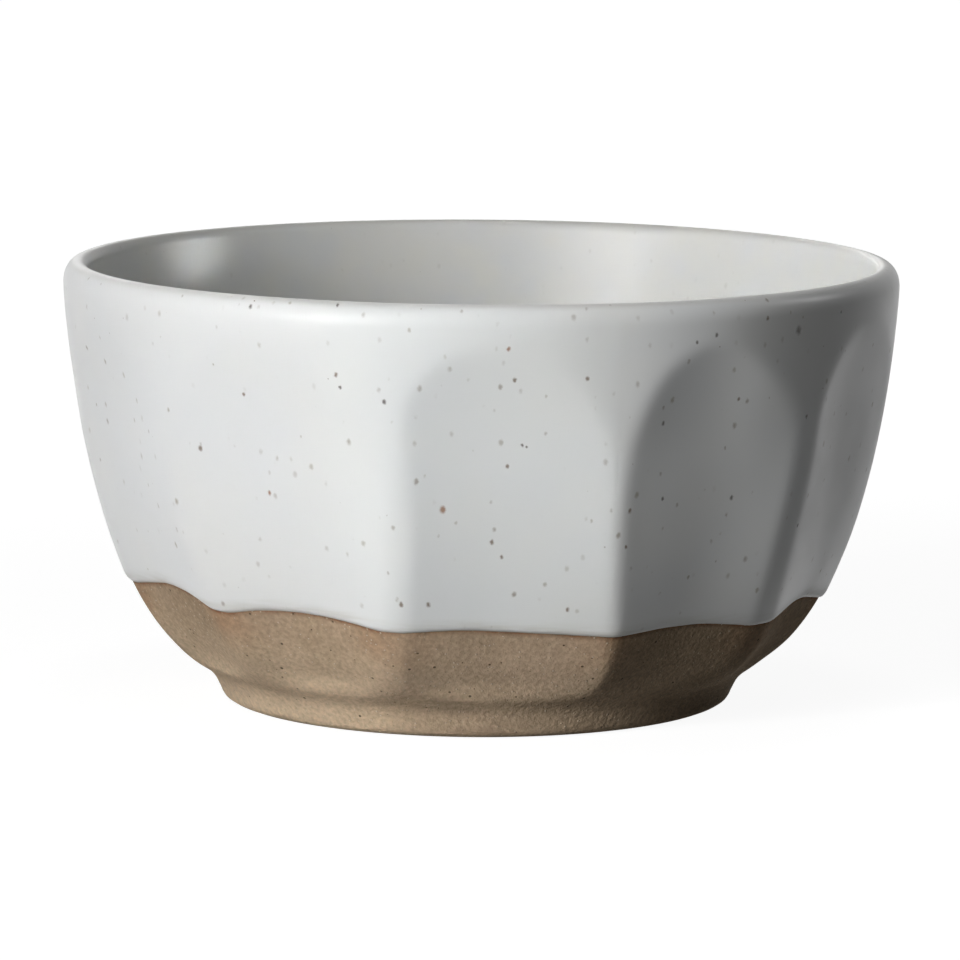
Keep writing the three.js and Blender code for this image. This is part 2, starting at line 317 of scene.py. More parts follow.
    # A coat lies off the clay along the section's normal, and the foot was turned a little off centre.
    inward = add(tree, MATH, {0: way[0], 1: -1.0}, operation="MULTIPLY")[0]
    out = add(tree, MATH, {0: way[2], 1: given["Offset"], 2: swayed}, operation="MULTIPLY_ADD")[0]
    top = add(tree, MATH, {0: inward, 1: given["Offset"], 2: height}, operation="MULTIPLY_ADD")[0]
    foot = add(tree, MATH, {0: fade, 1: 1.0}, operation="SUBTRACT")[0]
    shift = add(tree, MATH, {0: foot, 1: given["Foot shift"]}, operation="MULTIPLY")[0]
    x = add(tree, MATH, {0: out, 1: east, 2: shift}, operation="MULTIPLY_ADD")[0]
    south = add(tree, MATH, {0: north, 1: -1.0}, operation="MULTIPLY")[0]
    y = add(tree, MATH, {0: out, 1: south}, operation="MULTIPLY")[0]
    where = add(tree, "ShaderNodeCombineXYZ", {0: x, 1: y, 2: top})[0]
    over_line = add(tree, MATH, {0: height, 1: line}, operation="SUBTRACT")[0]
    add(tree, "NodeGroupOutput", {"Place": where, "Over line": over_line, "Scoop": scoop, "Inside": inside})
    return tree


SECTION = fluted_section()


def turned_piece(name, tree, inputs):
    """Runs a tree on an empty mesh and keeps the result as a plain mesh object at the origin."""
    piece = bpy.data.objects.new(name, bpy.data.meshes.new(name))
    scene.collection.objects.link(piece)
    modifier = piece.modifiers.new("Turned", "NODES")
    modifier.node_group = tree
    for socket in tree.interface.items_tree:
        if socket.in_out == "INPUT":
            modifier[socket.identifier] = inputs[socket.name]
    bpy.context.view_layer.update()
    evaluated = piece.evaluated_get(bpy.context.evaluated_depsgraph_get())
    mesh = bpy.data.meshes.new_from_object(evaluated)
    piece.modifiers.remove(modifier)
    piece.data = mesh
    mesh.name = name
    mesh.materials.pop(index=0)  # the empty slot a new sheet comes with
    return piece


def clay_tree(material):
    """The clay body: a sheet of rows and columns, wrapped round the axis along the whole template."""
    tree = bpy.data.node_groups.new("Thrown and fluted clay", "GeometryNodeTree")
    tree.interface.new_socket("Template", in_out="INPUT", socket_type="NodeSocketObject")
    for name in ("Columns", "Rows"):
        tree.interface.new_socket(name, in_out="INPUT", socket_type="NodeSocketInt")
    for name in SHAPE:
        tree.interface.new_socket(name, in_out="INPUT", socket_type="NodeSocketFloat")
    tree.interface.new_socket("Clay", in_out="OUTPUT", socket_type="NodeSocketGeometry")
    given = add(tree, "NodeGroupInput")
    shape = {name: given[name] for name in SHAPE}
    template = add(tree, "GeometryNodeObjectInfo", {"Object": given["Template"]})["Geometry"]
    edges = add(tree, MATH, {0: given["Columns"], 1: 1.0}, operation="ADD")[0]
    sheet = add(tree, "GeometryNodeMeshGrid", {
        "Size X": math.tau, "Size Y": 1.0, "Vertices X": edges, "Vertices Y": given["Rows"]})
    flat = add(tree, "ShaderNodeSeparateXYZ", {0: add(tree, "GeometryNodeInputPosition")[0]})

    # Rows lie closer on the underside and the bare belly than under the glaze.
    even = add(tree, MATH, {0: flat[1], 1: 0.5}, operation="ADD")[0]
    cube = add(tree, MATH, {0: even, 1: 3.0}, operation="POWER")[0]
    slow = add(tree, MATH, {0: even, 1: 1 - ROW_PULL}, operation="MULTIPLY")[0]
    share = add(tree, MATH, {0: cube, 1: ROW_PULL, 2: slow}, operation="MULTIPLY_ADD")[0]
    section = add(tree, "GeometryNodeGroup", {
        "Template": template, "Angle": flat[0], "Share": share, **shape}, node_tree=SECTION)
    lined = add(tree, "GeometryNodeStoreNamedAttribute", {
        "Geometry": sheet["Mesh"], "Name": "over_line", "Value": section["Over line"]},
        data_type="FLOAT", domain="POINT")[0]
    scooped = add(tree, "GeometryNodeStoreNamedAttribute", {
        "Geometry": lined, "Name": "scoop", "Value": section["Scoop"]}, data_type="FLOAT", domain="POINT")[0]
    turned = add(tree, "GeometryNodeSetPosition", {"Geometry": scooped, "Position": section["Place"]})[0]
    closed = add(tree, "GeometryNodeMergeByDistance", {"Geometry": turned, "Distance": CLAY_SEAM})[0]
    smooth = add(tree, "GeometryNodeSetShadeSmooth", {"Geometry": closed})[0]
    real = add(tree, "GeometryNodeRealizeInstances", {"Geometry": smooth})[0]
    done = add(tree, "GeometryNodeSetMaterial", {"Geometry": real, "Material": material})[0]
    add(tree, "NodeGroupOutput", {"Clay": done})
    return tree


def linear(code):
    """An sRGB hex colour as linear RGBA."""
    shares = [int(code[i:i + 2], 16) / 255 for i in (1, 3, 5)]
    return [s / 12.92 if s <= 0.04045 else ((s + 0.055) / 1.055) ** 2.4 for s in shares] + [1.0]


MIX = "ShaderNodeMix"  # its colours are inputs 6 and 7 and output 2
VORONOI = "ShaderNodeTexVoronoi"
CLAY_DARK = "#9F8A71"
CLAY_LIGHT = "#B9A288"
GROG = "#DDD0BA"
IRON = "#2B1E15"
FLASH = "#74431F"
BLUSH = "#A9703F"
# The paler foot colour: partly a real wipe, partly painted light on the left side and over the shade above
# the foot.
WIPED_FOOT_AND_PAINTED_LIGHT = "#DDC7A8"
KILN_CLOUD = 18.0 * MM
RUST_PATCH = 6.0 * MM
SAND_PATCH = 0.8 * MM
SAND_RELIEF = 0.2 * MM
GROG_SPACING = 0.7 * MM
IRON_SPACING = 2.0 * MM
TOOL_RING = 1.1 * MM
WAVE_RADIANS = 20.0  # of a wave texture, to one unit at scale 1
WIPE_AND_PAINTED_LIGHT_HEIGHT = (23.0 * MM, 3.5 * MM)  # where the sponging and the painted light begin, high on the belly, and where they are full, on the foot
WIPE_AND_PAINTED_LIGHT_SIDE = (-30.0 * MM, 12.0 * MM)  # from the side where the wipe is strong and light is painted, on the left by the lamps, to the other
FLASH_DEPTH = (0.9 * MM, 0.05 * MM)  # below the dip line, where the rust begins and where it is full
BLUSH_DEPTH = (9.0 * MM, 1.0 * MM)  # the same for the blush


def grogged_stoneware():
    """Iron-bearing stoneware with grog, fired bare: matt and sandy, with pale and dark grains in it."""
    material = bpy.data.materials.new("grogged_stoneware")
    material.use_nodes = True
    tree = material.node_tree
    tree.nodes.clear()
    coords = add(tree, "ShaderNodeTexCoord")["Object"]
    place = add(tree, "ShaderNodeSeparateXYZ", {0: coords})
    over_line = add(tree, "ShaderNodeAttribute", attribute_name="over_line")["Fac"]
    scoop = add(tree, "ShaderNodeAttribute", attribute_name="scoop")["Fac"]

    # Kiln clouds between two browns, and the foot made paler by sponging. The paler colour is also painted
    # light:
    # it is strongest on the left, by the lamps, and reaches up the belly and over the shade above the foot.
    cloud = add(tree, NOISE, {"Vector": coords, "Scale": 1 / KILN_CLOUD, "Detail": 3.0})[0]
    clouds = add(tree, RANGE, {"Value": cloud, "From Min": 0.35, "From Max": 0.65})[0]
    tan = add(tree, MIX, {0: clouds, 6: linear(CLAY_DARK), 7: linear(CLAY_LIGHT)}, data_type="RGBA")[2]
    low_wipe_and_painted_light = add(tree, RANGE, {
        "Value": place[2], "From Min": WIPE_AND_PAINTED_LIGHT_HEIGHT[0], "From Max": WIPE_AND_PAINTED_LIGHT_HEIGHT[1],
    }, interpolation_type="SMOOTHSTEP")[0]
    sponge_and_painted_light = add(tree, RANGE, {
        "Value": place[0], "From Min": WIPE_AND_PAINTED_LIGHT_SIDE[0], "From Max": WIPE_AND_PAINTED_LIGHT_SIDE[1], "To Min": 0.65, "To Max": 0.1,
    }, interpolation_type="SMOOTHSTEP")[0]
    wiped_and_painted_light = add(tree, MATH, {0: low_wipe_and_painted_light, 1: sponge_and_painted_light}, operation="MULTIPLY")[0]
    footed_and_painted_light = add(tree, MIX, {0: wiped_and_painted_light, 6: tan, 7: linear(WIPED_FOOT_AND_PAINTED_LIGHT)}, data_type="RGBA")[2]

    # Iron drawn to the edge of the glaze leaves a rusty line there, and a blush on the thin ridges.
    near_line = add(tree, RANGE, {
        "Value": over_line, "From Min": -FLASH_DEPTH[0], "From Max": -FLASH_DEPTH[1],
    }, interpolation_type="SMOOTHSTEP")[0]
    patchy = add(tree, NOISE, {"Vector": coords, "Scale": 1 / RUST_PATCH, "Detail": 1.0})[0]
    flash = add(tree, MATH, {0: near_line, 1: patchy}, operation="MULTIPLY")[0]
    below_line = add(tree, RANGE, {
        "Value": over_line, "From Min": -BLUSH_DEPTH[0], "From Max": -BLUSH_DEPTH[1],
    }, interpolation_type="SMOOTHSTEP")[0]
    on_ridge = add(tree, RANGE, {"Value": scoop, "From Min": 0.75, "From Max": 0.1, "To Max": 0.35})[0]
    blush_area = add(tree, MATH, {0: below_line, 1: on_ridge}, operation="MULTIPLY")[0]
    blush = add(tree, MATH, {0: blush_area, 1: patchy}, operation="MULTIPLY")[0]
    blushed = add(tree, MIX, {0: blush, 6: footed_and_painted_light, 7: linear(BLUSH)}, data_type="RGBA")[2]
    flashed = add(tree, MIX, {0: flash, 6: blushed, 7: linear(FLASH)}, data_type="RGBA")[2]

    # Sand lightens and darkens the clay. Its patches are coarser than the real grains, which would not show.
    sand = add(tree, NOISE, {"Vector": coords, "Scale": 1 / SAND_PATCH, "Detail": 2.0, "Roughness": 0.6})[0]
    shade = add(tree, RANGE, {
        "Value": sand, "From Min": 0.3, "From Max": 0.7, "To Min": 0.81, "To Max": 1.19})[0]
    sanded = add(tree, "ShaderNodeHueSaturation", {"Value": shade, "Color": flashed})[0]

    # Pale grog grains 0.3 mm wide, about one in five showing, and iron grains from 0.2 to 0.6 mm.
    grog = add(tree, VORONOI, {"Vector": coords, "Scale": 1 / GROG_SPACING})
    grog_draw = add(tree, "ShaderNodeSeparateColor", {0: grog["Color"]})
    grog_shown = add(tree, RANGE, {
        "Value": grog_draw[0], "From Min": 0.72, "From Max": 0.9, "To Max": 0.7})[0]
    grog_round = add(tree, RANGE, {
        "Value": grog["Distance"], "From Min": 0.3, "From Max": 0.16}, interpolation_type="SMOOTHSTEP")[0]
    pale = add(tree, MATH, {0: grog_round, 1: grog_shown}, operation="MULTIPLY")[0]
    grogged = add(tree, MIX, {0: pale, 6: sanded, 7: linear(GROG)}, data_type="RGBA")[2]
    iron = add(tree, VORONOI, {"Vector": coords, "Scale": 1 / IRON_SPACING})
    iron_draw = add(tree, "ShaderNodeSeparateColor", {0: iron["Color"]})
    iron_size = add(tree, RANGE, {
        "Value": iron_draw[1], "From Min": 0.35, "To Min": 0.05, "To Max": 0.17})[0]
    iron_core = add(tree, MATH, {0: iron_size, 1: 0.5}, operation="MULTIPLY")[0]
    dark = add(tree, RANGE, {
        "Value": iron["Distance"], "From Min": iron_size, "From Max": iron_core, "To Max": 0.85,
    }, interpolation_type="SMOOTHSTEP")[0]
    grained = add(tree, MIX, {0: dark, 6: grogged, 7: linear(IRON)}, data_type="RGBA")[2]

    # The sand stands up, iron grains leave pits, and the turning tool leaves faint rings.
    raised = add(tree, MATH, {0: pale, 1: 0.5, 2: sand}, operation="MULTIPLY_ADD")[0]
    pitted = add(tree, MATH, {0: dark, 1: -0.6, 2: raised}, operation="MULTIPLY_ADD")[0]
    rings = add(tree, "ShaderNodeTexWave", {
        "Vector": coords, "Scale": math.tau / (WAVE_RADIANS * TOOL_RING), "Distortion": 1.5, "Detail": 1.0,
    }, wave_type="BANDS", bands_direction="Z")["Fac"]
    relief = add(tree, MATH, {0: rings, 1: 0.05, 2: pitted}, operation="MULTIPLY_ADD")[0]
    bump = add(tree, "ShaderNodeBump", {"Strength": 0.9, "Distance": SAND_RELIEF, "Height": relief})[0]
    roughness = add(tree, RANGE, {"Value": sand, "To Min": 0.98, "To Max": 0.8})[0]
    shader = add(tree, "ShaderNodeBsdfPrincipled", {
        "Base Color": grained, "Roughness": roughness, "Specular IOR Level": 0.1, "Normal": bump})
    add(tree, "ShaderNodeOutputMaterial", {"Surface": shader[0]})
    return material


template = throwing_template()
clay = turned_piece("clay_body", clay_tree(grogged_stoneware()), {
    "Template": template, "Columns": BODY_COLUMNS, "Rows": BODY_ROWS, **FLUTES, **DIP_LINE, **HAND})
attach(clay, "root")
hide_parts("stoneware_body")


# Glaze: one dipped coat of satin white, about half a millimetre thick, over the inside, the lip and the
# outside. It draws up into a rounded bead where it stops, and iron from the clay bleeds through as specks.
COAT = {
    "Thickness": 0.5 * MM,
    "Edge reach": 0.45 * MM,
    "Bead": 0.12 * MM,
    "Bead place": 1.1 * MM,
}
COAT_ROWS = 190
COAT_BACK_ROWS = 70
COAT_SEAM = 0.002 * MM
COAT_SHARE = 1 - DIP_LINE["Line share"]  # of the template, from the dip line to its end
ROW_SPACING = ((0.2, 0.09), (0.36, 0.285), (0.66, 0.39))  # share of the rows, share of the coat's run


def coat_tree(material):
    """The glaze coat: an outer sheet at its thickness and a back sheet on the clay, joined at the line."""
    tree = bpy.data.node_groups.new("Dipped glaze coat", "GeometryNodeTree")
    tree.interface.new_socket("Template", in_out="INPUT", socket_type="NodeSocketObject")
    for name in ("Columns", "Rows", "Back rows"):
        tree.interface.new_socket(name, in_out="INPUT", socket_type="NodeSocketInt")
    for name in (*SHAPE, *COAT):
        tree.interface.new_socket(name, in_out="INPUT", socket_type="NodeSocketFloat")
    tree.interface.new_socket("Glaze", in_out="OUTPUT", socket_type="NodeSocketGeometry")
    given = add(tree, "NodeGroupInput")
    shape = {name: given[name] for name in SHAPE}
    template = add(tree, "GeometryNodeObjectInfo", {"Object": given["Template"]})["Geometry"]
    length = add(tree, "GeometryNodeCurveLength", {0: template})[0]
    edges = add(tree, MATH, {0: given["Columns"], 1: 1.0}, operation="ADD")[0]
    flat = add(tree, "ShaderNodeSeparateXYZ", {0: add(tree, "GeometryNodeInputPosition")[0]})
    even = add(tree, MATH, {0: flat[1], 1: 0.5}, operation="ADD")[0]

    # Rows lie closer at the bead and round the lip.
    share = add(tree, "ShaderNodeFloatCurve", {"Value": even})[0]
    spacing = share.node.mapping
    for row, place in ROW_SPACING:
        spacing.curves[0].points.new(row, place)
    spacing.update()

    # Thickness along the coat: nothing at the line, a bead just above it, then even.
    whole_run = add(tree, MATH, {0: share, 1: length}, operation="MULTIPLY")[0]
    run = add(tree, MATH, {0: whole_run, 1: COAT_SHARE}, operation="MULTIPLY")[0]
    reach = add(tree, MATH, {0: run, 1: given["Edge reach"]}, operation="DIVIDE")[0]
    fall = add(tree, MATH, {0: reach, 1: -1.0}, operation="MULTIPLY")[0]
    edge = add(tree, MATH, {0: fall}, operation="EXPONENT")[0]
    grown = add(tree, MATH, {0: 1.0, 1: edge}, operation="SUBTRACT")[0]
    plain = add(tree, MATH, {0: grown, 1: given["Thickness"]}, operation="MULTIPLY")[0]
    ratio = add(tree, MATH, {0: run, 1: given["Bead place"]}, operation="DIVIDE")[0]
    fallen = add(tree, MATH, {0: 1.0, 1: ratio}, operation="SUBTRACT")[0]
    swell = add(tree, MATH, {0: fallen}, operation="EXPONENT")[0]
    bulge = add(tree, MATH, {0: ratio, 1: swell}, operation="MULTIPLY")[0]
    thickness = add(tree, MATH, {0: bulge, 1: given["Bead"], 2: plain}, operation="MULTIPLY_ADD")[0]

    sheets = []
    for rows, offset in (("Rows", thickness), ("Back rows", 0.0)):
        sheet = add(tree, "GeometryNodeMeshGrid", {
            "Size X": math.tau, "Size Y": 1.0, "Vertices X": edges, "Vertices Y": given[rows]})
        section = add(tree, "GeometryNodeGroup", {
            "Template": template, "Angle": flat[0], "Share": share, "Above line": 1.0, "Offset": offset,
            **shape}, node_tree=SECTION)
        measured = add(tree, "GeometryNodeStoreNamedAttribute", {
            "Geometry": sheet["Mesh"], "Name": "run", "Value": run}, data_type="FLOAT", domain="POINT")[0]
        sided = add(tree, "GeometryNodeStoreNamedAttribute", {
            "Geometry": measured, "Name": "inside", "Value": section["Inside"]},
            data_type="FLOAT", domain="POINT")[0]
        sheets.append(add(tree, "GeometryNodeSetPosition", {
            "Geometry": sided, "Position": section["Place"]})[0])
    back = add(tree, "GeometryNodeFlipFaces", {0: sheets[1]})[0]
    both = add(tree, "GeometryNodeJoinGeometry", {0: back})
    tree.links.new(sheets[0], both[0].node.inputs[0])
    closed = add(tree, "GeometryNodeMergeByDistance", {"Geometry": both[0], "Distance": COAT_SEAM})[0]
    smooth = add(tree, "GeometryNodeSetShadeSmooth", {"Geometry": closed})[0]
    real = add(tree, "GeometryNodeRealizeInstances", {"Geometry": smooth})[0]
    done = add(tree, "GeometryNodeSetMaterial", {"Geometry": real, "Material": material})[0]
    add(tree, "NodeGroupOutput", {"Glaze": done})
    return tree


GLAZE_COOL = "#E3E5E5"
GLAZE_WARM = "#E6E7E5"
GLAZE_INSIDE = "#E8E8E2"
GLAZE_THIN = "#C6C4BA"
GLAZE_LIP = "#B9B3A6"
SPECK_GREY = "#8F866C"
SPECK_BROWN = "#674F31"
SPECK_DARK = "#3A2E21"
SPECK_RUST = "#8C5620"
GLAZE_CLOUD = 22.0 * MM
INSIDE_CLOUD = 9.0 * MM
STREAK_LENGTH = 8.0 * MM
STREAK_FLATNESS = 10.0
THIN_RUN = (3.2 * MM, 0.6 * MM)  # above the dip line, where the coat begins to thin and where it is thinnest
LIP_RUN = (73.0 * MM, 74.0 * MM)  # heights between which it thins over the crest of the lip
SPECK_SPACING = 2.7 * MM
SPECK_DRAW = 0.7  # a speck's width as a share of its height
SPECK_FRAY = 0.5 * MM
SPECK_NUDGE = 0.35 * MM
POINT_SPACING = 2.3 * MM
POINT_RISE = (45.0 * MM, 72.0 * MM)  # heights between which the points become stronger
GLOSS_PATCH = 5.0 * MM
SKIN_WAVE = 6.0 * MM
SKIN_RELIEF = 0.04 * MM

# The largest iron specks of the photographed side, listed one by one: degrees round from the front, height in
# mm, and half width in mm. They are laid out on a cylinder and drawn out upwards like the others.
SPECK_RADIUS = 66.0 * MM
LARGE_SPECK_DRAW = 0.75
SPECK_EDGE = (1.35, 0.3)  # where a speck's soft edge begins and ends, in half widths
DARK_SPECKS = [
    (43.5, 68.0, 0.6), (29.0, 68.5, 0.3), (26.0, 67.5, 0.26), (53.0, 70.0, 0.24), (2.5, 51.5, 0.25),
    (3.1, 51.2, 0.18), (-16.0, 58.5, 0.32), (22.2, 54.5, 0.32), (47.0, 53.5, 0.3), (36.0, 41.0, 0.34),
    (23.5, 42.0, 0.28), (50.0, 35.0, 0.28), (-35.0, 72.5, 0.32), (-22.0, 60.5, 0.26), (-22.5, 73.5, 0.24),
]
BROWN_SPECKS = [
    (1.2, 62.2, 0.32), (10.7, 62.4, 0.32), (0.5, 48.0, 0.3), (-1.5, 35.5, 0.36), (0.0, 33.0, 0.3),
    (-15.0, 25.0, 0.38), (-11.0, 25.0, 0.38), (10.5, 24.0, 0.34), (18.0, 40.5, 0.34), (37.5, 70.5, 0.3),
    (-22.5, 62.5, 0.32), (-45.5, 48.5, 0.38), (18.0, 34.5, 0.26), (34.5, 57.5, 0.28), (-37.5, 58.0, 0.28),
]
RUST_SPECKS = [(-8.5, 41.0, 0.5), (0.3, 67.3, 0.32), (-35.0, 42.0, 0.34)]


def speckled_satin_glaze():
    """Satin white stoneware glaze: smooth and softly shiny, thin enough at its edges for the clay to show."""
    material = bpy.data.materials.new("speckled_satin_glaze")
    material.use_nodes = True
    tree = material.node_tree
    tree.nodes.clear()
    coords = add(tree, "ShaderNodeTexCoord")["Object"]
    place = add(tree, "ShaderNodeSeparateXYZ", {0: coords})
    run = add(tree, "ShaderNodeAttribute", attribute_name="run")["Fac"]
    inside = add(tree, "ShaderNodeAttribute", attribute_name="inside")["Fac"]

    # Slight clouds between a cool and a warm white. The inside is a little warmer and cloudier.
    cloud = add(tree, NOISE, {"Vector": coords, "Scale": 1 / GLAZE_CLOUD, "Detail": 2.0})[0]
    clouds = add(tree, RANGE, {"Value": cloud, "From Min": 0.35, "From Max": 0.65})[0]
    white = add(tree, MIX, {0: clouds, 6: linear(GLAZE_COOL), 7: linear(GLAZE_WARM)}, data_type="RGBA")[2]
    inner_cloud = add(tree, NOISE, {"Vector": coords, "Scale": 1 / INSIDE_CLOUD, "Detail": 2.0})[0]
    inner_clouds = add(tree, RANGE, {"Value": inner_cloud, "From Min": 0.3, "From Max": 0.7})[0]
    inner_share = add(tree, MATH, {0: inner_clouds, 1: inside}, operation="MULTIPLY")[0]
    lined = add(tree, MIX, {0: inner_share, 6: white, 7: linear(GLAZE_INSIDE)}, data_type="RGBA")[2]

    # The coat runs thin just above the dip line, in level streaks, and over the crest of the lip.
    streak_way = add(tree, "ShaderNodeVectorMath", {
        0: coords, 1: (1.0, 1.0, STREAK_FLATNESS)}, operation="MULTIPLY")[0]
    streak = add(tree, NOISE, {"Vector": streak_way, "Scale": 1 / STREAK_LENGTH, "Detail": 2.0})[0]
    streaks = add(tree, RANGE, {
        "Value": streak, "From Min": 0.35, "From Max": 0.7, "To Min": 0.1, "To Max": 0.65})[0]
    near_line = add(tree, RANGE, {
        "Value": run, "From Min": THIN_RUN[0], "From Max": THIN_RUN[1]}, interpolation_type="SMOOTHSTEP")[0]
    thin = add(tree, MATH, {0: near_line, 1: streaks}, operation="MULTIPLY")[0]
    edged = add(tree, MIX, {0: thin, 6: lined, 7: linear(GLAZE_THIN)}, data_type="RGBA")[2]
    on_lip = add(tree, RANGE, {
        "Value": place[2], "From Min": LIP_RUN[0], "From Max": LIP_RUN[1], "To Max": 0.25,
    }, interpolation_type="SMOOTHSTEP")[0]
    lipped = add(tree, MIX, {0: on_lip, 6: edged, 7: linear(GLAZE_LIP)}, data_type="RGBA")[2]

    # Iron specks 0.3 to 1 mm wide, two or three to a square centimetre, drawn out by the running glaze. Most
    # are faint under the coat, fainter still on the inside, and their edges are ragged.
    ragged = add(tree, NOISE, {"Vector": coords, "Scale": 1 / SPECK_FRAY, "Detail": 1.0})[1]
    centred = add(tree, "ShaderNodeVectorMath", {0: ragged, 1: (0.5, 0.5, 0.5)}, operation="SUBTRACT")[0]
    nudge = add(tree, "ShaderNodeVectorMath", {0: centred, "Scale": SPECK_NUDGE}, operation="SCALE")[0]
    shaken = add(tree, "ShaderNodeVectorMath", {0: coords, 1: nudge}, operation="ADD")[0]
    drawn = add(tree, "ShaderNodeVectorMath", {
        0: shaken, 1: (1.0, 1.0, SPECK_DRAW)}, operation="MULTIPLY")[0]
    cells = add(tree, VORONOI, {"Vector": drawn, "Scale": 1 / SPECK_SPACING})
    draw = add(tree, "ShaderNodeSeparateColor", {0: cells["Color"]})
    size = add(tree, RANGE, {"Value": draw[0], "To Min": 0.09, "To Max": 0.23})[0]
    core = add(tree, MATH, {0: size, 1: 0.2}, operation="MULTIPLY")[0]
    spot = add(tree, RANGE, {
        "Value": cells["Distance"], "From Min": size, "From Max": core}, interpolation_type="SMOOTHSTEP")[0]
    faint = add(tree, RANGE, {"Value": draw[1], "To Min": 0.05, "To Max": 0.65})[0]
    outward = add(tree, RANGE, {"Value": inside, "To Min": 1.0, "To Max": 0.2})[0]
    seldom = add(tree, MATH, {0: faint, 1: outward}, operation="MULTIPLY")[0]
    shown = add(tree, MATH, {0: spot, 1: seldom}, operation="MULTIPLY")[0]
    hue = add(tree, MIX, {0: draw[2], 6: linear(SPECK_GREY), 7: linear(SPECK_BROWN)}, data_type="RGBA")[2]
    specked = add(tree, MIX, {0: shown, 6: lipped, 7: hue}, data_type="RGBA")[2]

    # Fine dark points up to 0.3 mm wide, stronger towards the rim.
    points = add(tree, VORONOI, {"Vector": shaken, "Scale": 1 / POINT_SPACING})
    point_draw = add(tree, "ShaderNodeSeparateColor", {0: points["Color"]})
    point_size = add(tree, RANGE, {
        "Value": point_draw[0], "From Min": 0.6, "To Min": 0.0, "To Max": 0.08})[0]
    point_core = add(tree, MATH, {0: point_size, 1: 0.5}, operation="MULTIPLY")[0]
    point_spot = add(tree, RANGE, {
        "Value": points["Distance"], "From Min": point_size, "From Max": point_core,
    }, interpolation_type="SMOOTHSTEP")[0]
    rimward = add(tree, RANGE, {
        "Value": place[2], "From Min": POINT_RISE[0], "From Max": POINT_RISE[1],
        "To Min": 0.25, "To Max": 0.75})[0]
    fine = add(tree, MATH, {0: rimward, 1: outward}, operation="MULTIPLY")[0]
    point_shown = add(tree, MATH, {0: point_spot, 1: fine}, operation="MULTIPLY")[0]
    pointed = add(tree, MIX, {0: point_shown, 6: specked, 7: linear(SPECK_BROWN)}, data_type="RGBA")[2]

    # The largest specks stand at their own places on the outside.
    shaken_place = add(tree, "ShaderNodeSeparateXYZ", {0: shaken})
    front = add(tree, MATH, {0: shaken_place[1], 1: -1.0}, operation="MULTIPLY")[0]
    angle = add(tree, MATH, {0: shaken_place[0], 1: front}, operation="ARCTAN2")[0]
    around = add(tree, MATH, {0: angle, 1: SPECK_RADIUS}, operation="MULTIPLY")[0]
    upward = add(tree, MATH, {0: shaken_place[2], 1: LARGE_SPECK_DRAW}, operation="MULTIPLY")[0]
    unrolled = add(tree, "ShaderNodeCombineXYZ", {0: around, 1: upward})[0]
    outside = add(tree, MATH, {0: 0.8, 1: inside}, operation="SUBTRACT")[0]
    colour = pointed
    for group, code in ((DARK_SPECKS, SPECK_DARK), (BROWN_SPECKS, SPECK_BROWN), (RUST_SPECKS, SPECK_RUST)):
        marks = 0.0
        for degrees, up, half_width in group:
            middle = (math.radians(degrees) * SPECK_RADIUS, up * MM * LARGE_SPECK_DRAW, 0.0)
            away = add(tree, "ShaderNodeVectorMath", {0: unrolled, 1: middle}, operation="DISTANCE")["Value"]
            mark = add(tree, RANGE, {
                "Value": away,
                "From Min": half_width * SPECK_EDGE[0] * MM,
                "From Max": half_width * SPECK_EDGE[1] * MM,
            }, interpolation_type="SMOOTHSTEP")[0]
            marks = add(tree, MATH, {0: mark, 1: marks}, operation="MAXIMUM")[0]
        seen = add(tree, MATH, {0: marks, 1: outside}, operation="MULTIPLY")[0]
        colour = add(tree, MIX, {0: seen, 6: colour, 7: linear(code)}, data_type="RGBA")[2]

    # Satin gloss, duller where the coat is thin, over a skin that is never quite flat.
    gloss = add(tree, NOISE, {"Vector": coords, "Scale": 1 / GLOSS_PATCH, "Detail": 2.0})[0]
    satin = add(tree, RANGE, {
        "Value": gloss, "From Min": 0.3, "From Max": 0.7, "To Min": 0.31, "To Max": 0.37})[0]
    roughness = add(tree, MATH, {0: near_line, 1: 0.15, 2: satin}, operation="MULTIPLY_ADD")[0]
    skin = add(tree, NOISE, {"Vector": coords, "Scale": 1 / SKIN_WAVE, "Detail": 1.0})[0]
    bump = add(tree, "ShaderNodeBump", {"Strength": 0.4, "Distance": SKIN_RELIEF, "Height": skin})[0]
    shader = add(tree, "ShaderNodeBsdfPrincipled", {
        "Base Color": colour, "Roughness": roughness, "Specular IOR Level": 0.3, "Normal": bump})
    add(tree, "ShaderNodeOutputMaterial", {"Surface": shader[0]})
    return material


glaze = turned_piece("glaze_coat_satin", coat_tree(speckled_satin_glaze()), {
    "Template": template, "Columns": BODY_COLUMNS, "Rows": COAT_ROWS, "Back rows": COAT_BACK_ROWS,
    **FLUTES, **DIP_LINE, **HAND, **COAT})
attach(glaze, "root")
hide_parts("glaze_coat")
bpy.data.objects.remove(template)


# Camera: a long lens, above the rim and a little to the left, as in the photograph. Its place, roll and focal
# length were fitted to the outlines of the rim and the foot.
CAMERA_DISTANCE = 1.051
CAMERA_HEIGHT = 0.1855
CAMERA_AZIMUTH = math.radians(-3.3)
CAMERA_AIM = Vector((0.0, 0.0, 0.03664))
CAMERA_ROLL = math.radians(0.393)
CAMERA_FOCAL_PIXELS = 6299.2
IMAGE_PIXELS = 960

